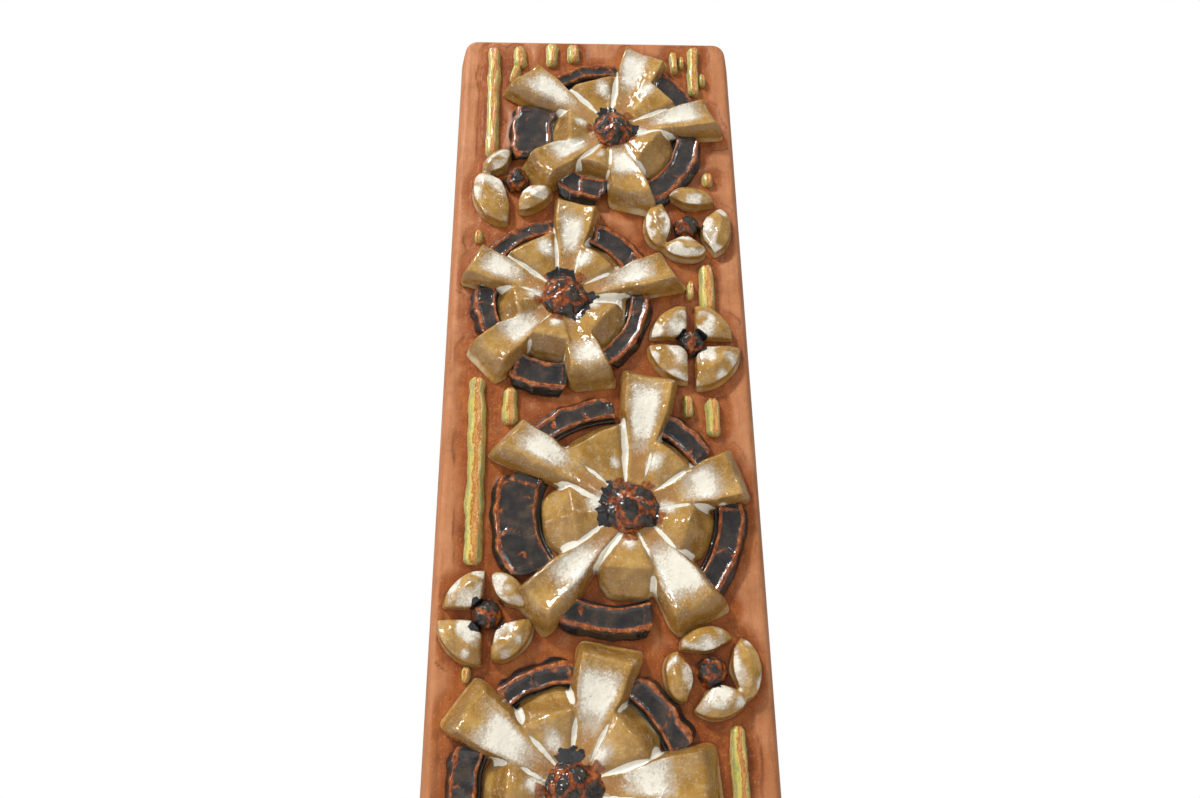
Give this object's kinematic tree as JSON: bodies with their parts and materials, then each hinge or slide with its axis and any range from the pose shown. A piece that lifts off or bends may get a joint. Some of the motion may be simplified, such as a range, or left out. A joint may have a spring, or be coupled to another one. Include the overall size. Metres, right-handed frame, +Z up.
{
  "type": "wall plaque",
  "caption": "Long upright stoneware wall plaque with a raised relief of stylised flowers, glazed over a bare clay border, for hanging on a wall.",
  "frame": {"origin": "middle of the flat back face, where the plaque meets the wall", "axes": "+Z up along the length, +X to the right as seen from the front, the relief faces -Y and the back lies on y = 0"},
  "size_m": [0.125, 0.0228, 0.401],
  "materials": {
    "fired_clay": "reddish fired clay, satin on the border and darker and glossier around the relief",
    "petal_glaze": "glossy glaze, khaki where it is thin on the edges and creamy white where it pools",
    "dark_glaze": "glossy slate-black glaze that breaks to rust on the rims",
    "stroke_glaze": "glossy yellow-green glaze with an orange broken middle"
  },
  "bodies": {
    "root": {"plaque": "fired_clay"}
  },
  "joints": []
}
